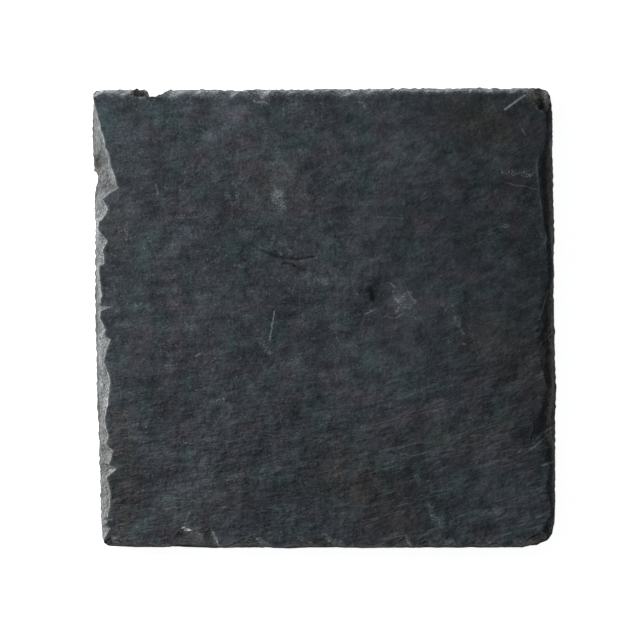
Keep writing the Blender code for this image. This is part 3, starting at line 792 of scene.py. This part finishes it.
def paint(mesh, vertices, broken, crest, lip):
    """Stores where the stone is broken, fresh, brown, cloudy or smeared, where the rim's inner edge gets
    its painted highlight, and where painted shade darkens it.
    """
    x, y, z = vertices.T
    soft = by_side(SOFTNESS, x, y)
    broken = broken * np.clip((face_height(x, y) - z) / soft, 0.0, 1.0)
    below = np.clip((0.25 * THICKNESS - z) / 0.5, 0.0, 1.0)
    # Paleness by side, partly painted light: the top rim is made paler for the light that falls on it and
    # the right rim duller for its shade.
    fresh = by_side(FRESHNESS_AND_LIGHT, x, y) * (1.0 + 0.25 * rough(x, y, 3.0, SEED + 170))
    fresh = fresh * np.maximum(1.0 + by_side(PATCHINESS, x, y) * rough(x, y, 0.9, SEED + 175), 0.1)
    wall = np.clip((0.5 * THICKNESS - z) / 0.6, 0.0, 1.0)
    fresh = fresh + wall * (np.minimum(fresh, 0.7 * by_side(FRESHNESS_AND_LIGHT, x, y) ** 0.2) - fresh)
    # The lower wall keeps at least half its paleness, painted light standing in for the light that hardly
    # reaches it.
    fresh = np.maximum(fresh * (1.0 - strongest(DULLS, x, y)), 0.5 * below)
    brown = broken * by_side(BROWNNESS, x, y) * (1.0 - 0.5 * below)
    upper = np.clip(z - 1.0, 0.0, 1.0)
    cloud = upper * sum(mark.strength * along_mark(mark, x, y) for mark in CLOUDS_AND_DENT_SHADING)
    # Painted shade: a dark line along the lip, mostly on the bottom side, and deep shade in the hollows of
    # the rim.
    dark = np.maximum(lip * broken * by_side(LIP_SHADE, x, y), strongest(SHADOWS, x, y))
    warped_x = x + SMEAR_WARP * rough(x, y, WARP_LENGTH, SEED + 180)
    warped_y = y + SMEAR_WARP * rough(x, y, WARP_LENGTH, SEED + 185)
    # The crest layer holds the painted highlight of the rim's inner edge and the dark layer its painted
    # shade.
    layers = {
        "broken": broken,
        "fresh": broken * fresh,
        "crest": crest * fresh,
        "earth": np.maximum(brown, strongest(EARTHS, x, y)),
        "cloud": cloud,
        "smear": upper * strongest(SMEARS, warped_x, warped_y),
        "dark": dark,
    }
    for name, values in layers.items():
        layer = mesh.attributes.new(name, "FLOAT", "POINT")
        layer.data.foreach_set("value", np.ascontiguousarray(values, np.float32))


class Nodes:
    """Short ways to add nodes to a material's tree."""

    def __init__(self, material):
        material.use_nodes = True
        self.tree = material.node_tree

    def add(self, kind, **settings):
        node = self.tree.nodes.new(kind)
        for key, value in settings.items():
            setattr(node, key, value)
        return node

    def put(self, socket, value):
        if isinstance(value, bpy.types.NodeSocket):
            self.tree.links.new(value, socket)
        else:
            socket.default_value = value

    def math(self, operation, a, b=0.0, c=0.0):
        node = self.add("ShaderNodeMath", operation=operation)
        for socket, value in zip(node.inputs, (a, b, c)):
            self.put(socket, value)
        return node.outputs[0]

    def times(self, first, *others):
        for other in others:
            first = self.math("MULTIPLY", first, other)
        return first

    def plus(self, first, *others):
        for other in others:
            first = self.math("ADD", first, other)
        return first

    def most(self, first, *others):
        for other in others:
            first = self.math("MAXIMUM", first, other)
        return first

    def vector(self, operation, a, b=(0.0, 0.0, 0.0)):
        node = self.add("ShaderNodeVectorMath", operation=operation)
        self.put(node.inputs[0], a)
        self.put(node.inputs[1], b)
        return node.outputs["Value" if operation in ("LENGTH", "DOT_PRODUCT") else "Vector"]

    def noise(self, place, scale, detail=4.0, roughness=0.6):
        node = self.add("ShaderNodeTexNoise")
        self.put(node.inputs["Vector"], place)
        node.inputs["Scale"].default_value = scale
        node.inputs["Detail"].default_value = detail
        node.inputs["Roughness"].default_value = roughness
        return node.outputs["Fac"]

    def ramp(self, value, low, high, to_low=0.0, to_high=1.0):
        node = self.add("ShaderNodeMapRange", interpolation_type="SMOOTHSTEP")
        for socket, number in zip(node.inputs, (value, low, high, to_low, to_high)):
            self.put(socket, number)
        return node.outputs[0]

    def mix(self, share, a, b):
        node = self.add("ShaderNodeMix", data_type="RGBA")
        self.put(node.inputs[0], share)
        self.put(node.inputs[6], a)
        self.put(node.inputs[7], b)
        return node.outputs[2]

    def scale(self, colour, amount):
        node = self.add("ShaderNodeVectorMath", operation="SCALE")
        self.put(node.inputs[0], colour)
        self.put(node.inputs["Scale"], amount)
        return node.outputs["Vector"]

    def attribute(self, name):
        return self.add("ShaderNodeAttribute", attribute_name=name).outputs["Fac"]


def scratch_mask(nodes, place, mark):
    """1 on a thin mark, 0 beside it."""
    start = (mark.x0, mark.y0, THICKNESS)
    reach = (mark.x1 - mark.x0, mark.y1 - mark.y0, 0.0)
    from_start = nodes.vector("MULTIPLY", nodes.vector("SUBTRACT", place, start), (1, 1, 0))
    share = nodes.vector("DOT_PRODUCT", from_start, reach)
    share = nodes.math("DIVIDE", share, reach[0] ** 2 + reach[1] ** 2)
    share = nodes.math("MINIMUM", nodes.math("MAXIMUM", share, 0.0), 1.0)
    away = nodes.vector("LENGTH", nodes.vector("SUBTRACT", from_start, nodes.scale(reach, share)))
    return nodes.ramp(away, 0.5 * mark.half, 1.7 * mark.half, mark.strength, 0.0)


def turned(nodes, place, degrees, stretch):
    """A place for noise drawn out along a direction."""
    node = nodes.add("ShaderNodeVectorRotate", rotation_type="Z_AXIS")
    nodes.put(node.inputs["Vector"], place)
    node.inputs["Angle"].default_value = math.radians(-degrees)
    return nodes.vector("MULTIPLY", node.outputs[0], (stretch, 1.0, 1.0))


def hairs(nodes, place, scale, half, share):
    """Thin broken lines where noise crosses its middle: 1 on a line, 0 off it."""
    away = nodes.math("ABSOLUTE", nodes.math("SUBTRACT", nodes.noise(place, scale, 3.0, 0.55), 0.5))
    kept = nodes.ramp(nodes.noise(place, 0.37 * scale, 2.0, 0.5), 0.62 - share, 0.7 - share)
    return nodes.times(nodes.ramp(away, 0.3 * half, half, 1.0, 0.0), kept)


def steps(nodes, place, scale, count):
    """Thin layers, each ending in a sharp little step."""
    level = nodes.times(nodes.noise(place, scale, 5.0, 0.6), count)
    edge = nodes.ramp(nodes.math("FRACT", level), 0.78, 1.0)
    return nodes.plus(nodes.math("FLOOR", level), edge)


class Stone:
    """The places, masks and noises that the parts of the stone's material share."""

    def __init__(self, nodes):
        self.place = nodes.scale(nodes.add("ShaderNodeTexCoord").outputs["Object"], 1.0 / MM)
        self.shifted = nodes.vector("ADD", self.place, (40.0, 7.0, 3.0))
        self.along = nodes.vector("MULTIPLY", self.place, (0.35, 1.0, 1.0))
        self.level = turned(nodes, self.place, 2, 0.15)
        self.slanting = turned(nodes, self.shifted, 16, 0.13)
        self.steep = turned(nodes, self.shifted, 33, 0.3)
        self.layered = nodes.vector("MULTIPLY", self.place, (0.12, 0.12, 2.4))
        parts = nodes.add("ShaderNodeSeparateXYZ")
        nodes.put(parts.inputs[0], self.place)
        self.east = nodes.ramp(parts.outputs[0], -12.0, 28.0)
        self.south = nodes.ramp(parts.outputs[1], 4.0, -28.0)
        self.upper = nodes.ramp(parts.outputs[2], 1.0, 2.0)
        for name in ("broken", "fresh", "crest", "earth", "cloud", "smear", "dark"):
            setattr(self, name, nodes.attribute(name))
        for name, (place, *settings) in NOISES.items():
            setattr(self, name, nodes.noise(getattr(self, place), *settings))


def face_tone(nodes, stone):
    """How light the face is: broad clouds down to single specks, calmer towards the right."""
    east, south, blotch = stone.east, stone.south, stone.blotch
    streaks = nodes.mix(east, stone.level_streaks, stone.slanting_streaks)
    fine = nodes.mix(nodes.ramp(south, 0.0, 1.0, 0.2, 0.75), stone.grit, streaks)
    grain = nodes.times(nodes.ramp(stone.speckle, 0.34, 0.66, 0.84, 1.16),
                        nodes.ramp(fine, 0.34, 0.66, 0.76, 1.26))
    grain = nodes.math("POWER", grain, nodes.ramp(east, 0.0, 1.0, 1.0, 0.5))
    tone = nodes.times(nodes.ramp(stone.clouds, 0.3, 0.7, 0.78, 1.36),
                       nodes.ramp(stone.patches, 0.32, 0.68, 0.86, 1.17),
                       nodes.ramp(stone.mottle, 0.32, 0.68, 0.74, 1.3),
                       grain, nodes.plus(stone.cloud, 1.0))
    spots = nodes.times(nodes.ramp(stone.flecks, 0.57, 0.67), nodes.ramp(blotch, 0.42, 0.62, 0.1, 1.3))
    pits = nodes.times(nodes.ramp(stone.flecks, 0.43, 0.34), nodes.ramp(stone.patches, 0.58, 0.4, 0.1, 0.3))
    spots = nodes.times(nodes.math("SUBTRACT", spots, pits), nodes.ramp(east, 0.0, 1.0, 1.2, 0.7))
    slants = nodes.times(hairs(nodes, stone.slanting, 0.55, 0.03, 0.18),
                         south, nodes.ramp(east, 0.2, 0.8, 0.3, 1.0))
    steeps = nodes.times(hairs(nodes, stone.steep, 0.8, 0.03, 0.13), east, 0.6)
    dashes = nodes.times(hairs(nodes, stone.level, 0.8, 0.025, 0.16),
                         south, nodes.ramp(east, 0.1, 0.7, 0.6, 0.0))
    return nodes.plus(tone, spots, nodes.most(slants, steeps, dashes))


def face_colour(nodes, stone):
    """The face: violet, neutral and teal greys that run into each other, brown in places."""
    colour = nodes.mix(nodes.ramp(stone.tints, 0.36, 0.5), VIOLET, NEUTRAL)
    colour = nodes.mix(nodes.ramp(stone.tints, 0.52, 0.64), colour, TEAL)
    colour = nodes.mix(nodes.times(stone.earth, nodes.ramp(stone.blotch, 0.3, 0.6)), colour, BROWN)
    return nodes.scale(colour, face_tone(nodes, stone))


def break_colour(nodes, stone):
    """The broken stone: dark where dull, pale and powdery where fresh, in layers; on the top and right
    sides this paleness is partly painted light and shade.
    """
    fresh = stone.fresh
    patchy = nodes.plus(nodes.times(stone.powder, 0.35), nodes.times(stone.blotch, 0.3),
                        nodes.times(stone.crumbs, 0.35))
    share = nodes.ramp(patchy, 0.41, 0.59)
    chip = nodes.mix(fresh, nodes.mix(share, *DULL_BREAK), nodes.mix(share, *FRESH_BREAK))
    chip = nodes.vector("MULTIPLY", chip, nodes.mix(stone.earth, (1, 1, 1, 1), EARTH_TINT))
    sparkle = nodes.ramp(stone.crumbs, 0.42, 0.58, -0.38, 0.3)
    sparkle = nodes.math("MULTIPLY_ADD", nodes.ramp(fresh, 0.95, 1.3), sparkle, 1.0)
    glow = nodes.times(nodes.most(fresh, 1.0), nodes.ramp(stone.strata, 0.36, 0.64, 0.75, 1.25), sparkle)
    return nodes.scale(chip, glow)


def add_pale_marks(nodes, stone, bent, colour):
    """The painted highlight along the inner edge of the rim, the dusty smears, and the scratches with their
    painted glints.
    """
    crest = nodes.times(stone.crest, nodes.ramp(stone.crumbs, 0.35, 0.6, 0.2, 1.0), 0.6)
    colour = nodes.mix(crest, colour, EDGE_HIGHLIGHT)
    dust = nodes.plus(stone.smear, nodes.math("MULTIPLY_ADD", stone.dusting, 3.2, -1.6))
    dust = nodes.times(nodes.ramp(dust, 0.4, 0.9, 0.0, 0.9), nodes.ramp(stone.smear, 0.05, 0.3))
    dust = nodes.most(dust, nodes.times(stone.smear, 0.2))
    colour = nodes.mix(dust, colour, nodes.mix(nodes.ramp(stone.grit, 0.35, 0.65), *DUST))
    line = nodes.most(0.0, *[scratch_mask(nodes, bent, mark) for mark in SCRATCHES_AND_GLINTS])
    line = nodes.times(line, nodes.ramp(stone.crumbs, 0.34, 0.5, 0.45, 1.0), stone.upper)
    # Marks stronger than 1, the painted glints, come out brighter than the pale scratch colour.
    return nodes.mix(line, colour, nodes.scale(SCRATCH_AND_GLINT_COLOUR, nodes.most(line, 1.0)))


def add_shade(nodes, stone, bent, colour):
    """Painted shade in the creases of the face, in the hollows of the rim and along the lip of its bottom
    and right sides.
    """
    thin = [mark._replace(half=0.8 * mark.half, strength=0.75 * mark.strength) for mark in CREASES]
    shade = nodes.most(stone.dark, *[scratch_mask(nodes, bent, mark) for mark in thin])
    shade = nodes.times(shade, nodes.ramp(stone.crumbs, 0.34, 0.5, 0.7, 1.0))
    shade = nodes.times(nodes.math("MINIMUM", shade, 0.96), stone.upper)
    return nodes.mix(shade, colour, SHADED)


def stone_relief(nodes, stone):
    """The relief too fine for the mesh, in millimetres: grain that slants, steps and layers."""
    east = stone.east
    strands = nodes.mix(east, stone.level_strands, stone.steep_strands)
    relief = nodes.plus(nodes.times(stone.roughening, nodes.ramp(east, 0.0, 1.0, 0.12, 0.08)),
                        nodes.times(strands, STRAND_RELIEF),
                        nodes.times(stone.scrapes, nodes.ramp(stone.south, 0.0, 1.0, 0.04, 0.16)))
    relief = nodes.times(relief, nodes.ramp(stone.patches, 0.35, 0.65, 0.7, 1.4))
    relief = nodes.plus(relief, nodes.times(steps(nodes, stone.along, 0.4, 10.0), STEP_RELIEF))
    relief = nodes.times(relief, nodes.ramp(stone.broken, 0.0, 1.0, 1.0, BREAK_RELIEF))
    return nodes.plus(relief, nodes.times(stone.strata, stone.broken, STRATA_RELIEF))


def slate():
    """Riven slate: dull blue-grey, clouded and speckled, paler and rougher where broken."""
    material = bpy.data.materials.new("slate")
    nodes = Nodes(material)
    stone = Stone(nodes)
    shader = material.node_tree.nodes["Principled BSDF"]
    wobble = nodes.math("SUBTRACT", stone.wobble, 0.5)
    bent = nodes.vector("ADD", stone.place, nodes.scale((0.9, 0.9, 0.0), wobble))
    colour = nodes.mix(stone.broken, face_colour(nodes, stone), break_colour(nodes, stone))
    colour = add_pale_marks(nodes, stone, bent, colour)
    colour = add_shade(nodes, stone, bent, colour)
    nodes.put(shader.inputs["Base Color"], colour)
    nodes.put(shader.inputs["Roughness"], nodes.ramp(stone.mottle, 0.3, 0.7, *ROUGHNESS))
    shader.inputs["Specular IOR Level"].default_value = SPECULAR
    bump = nodes.add("ShaderNodeBump")
    bump.inputs["Strength"].default_value = 1.0
    bump.inputs["Distance"].default_value = MM
    nodes.put(bump.inputs["Height"], stone_relief(nodes, stone))
    nodes.put(shader.inputs["Normal"], bump.outputs[0])
    return material


def add_slab():
    """The detailed stone, in place of its plain solid."""
    vertices, faces, broken, crest, lip = slab_mesh()
    mesh = bpy.data.meshes.new("riven_slate")
    mesh.from_pydata((vertices * MM).tolist(), [], faces)
    paint(mesh, vertices, broken, crest, lip)
    mesh.materials.append(slate())
    mesh.shade_smooth()
    mesh.set_sharp_from_angle(angle=SHARP_ANGLE)
    slab = bpy.data.objects.new("riven_slate", mesh)
    bpy.context.scene.collection.objects.link(slab)
    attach(slab, "root")
    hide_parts("slate_slab")
    print("riven_slate:", len(vertices), "vertices,", len(faces), "triangles")


def add_floor():
    """A plain white surface that glows a little, as a light table does."""
    half = TABLE_HALF
    mesh = bpy.data.meshes.new("floor")
    corners = [(-half, -half, 0), (half, -half, 0), (half, half, 0), (-half, half, 0)]
    mesh.from_pydata(corners, [], [(0, 1, 2, 3)])
    material = bpy.data.materials.new("white_table")
    material.use_nodes = True
    shader = material.node_tree.nodes["Principled BSDF"]
    shader.inputs["Base Color"].default_value = (0.9, 0.9, 0.9, 1)
    shader.inputs["Roughness"].default_value = 0.9
    shader.inputs["Specular IOR Level"].default_value = 0.0
    shader.inputs["Emission Color"].default_value = (1, 1, 1, 1)
    shader.inputs["Emission Strength"].default_value = TABLE_GLOW
    mesh.materials.append(material)
    floor = bpy.data.objects.new("floor", mesh)
    floor.location.z = -0.02 * MM
    bpy.context.scene.collection.objects.link(floor)


def add_light(name, place, size, power):
    """A soft square lamp that faces the slab."""
    lamp = bpy.data.lights.new(name, "AREA")
    lamp.size = size
    lamp.energy = power
    thing = bpy.data.objects.new(name, lamp)
    thing.location = place
    thing.visible_camera = False
    thing.rotation_euler = (-thing.location).to_track_quat("-Z", "Y").to_euler()
    bpy.context.scene.collection.objects.link(thing)


def add_camera():
    """Straight down, framed as the photograph is."""
    lens = bpy.data.cameras.new("camera")
    lens.sensor_width = SENSOR
    lens.lens = SENSOR * DISTANCE / PICTURE_WIDTH
    lens.clip_start = 0.05
    lens.clip_end = 20.0
    camera = bpy.data.objects.new("camera", lens)
    camera.location = (AIM[0] * MM, AIM[1] * MM, (MARK_HEIGHT + DISTANCE) * MM)
    bpy.context.scene.collection.objects.link(camera)
    bpy.context.scene.camera = camera


def add_surroundings():
    """Even, weak light from all round."""
    world = bpy.data.worlds.new("studio")
    world.use_nodes = True
    background = world.node_tree.nodes["Background"]
    background.inputs["Color"].default_value = (0.95, 0.97, 1.0, 1)
    background.inputs["Strength"].default_value = SURROUND_LIGHT
    bpy.context.scene.world = world
    bpy.context.scene.view_settings.view_transform = "Standard"


add_slab()
add_floor()
add_light("key", KEY_PLACE, KEY_SIZE, KEY_POWER)
add_camera()
add_surroundings()

bpy.context.view_layer.update()
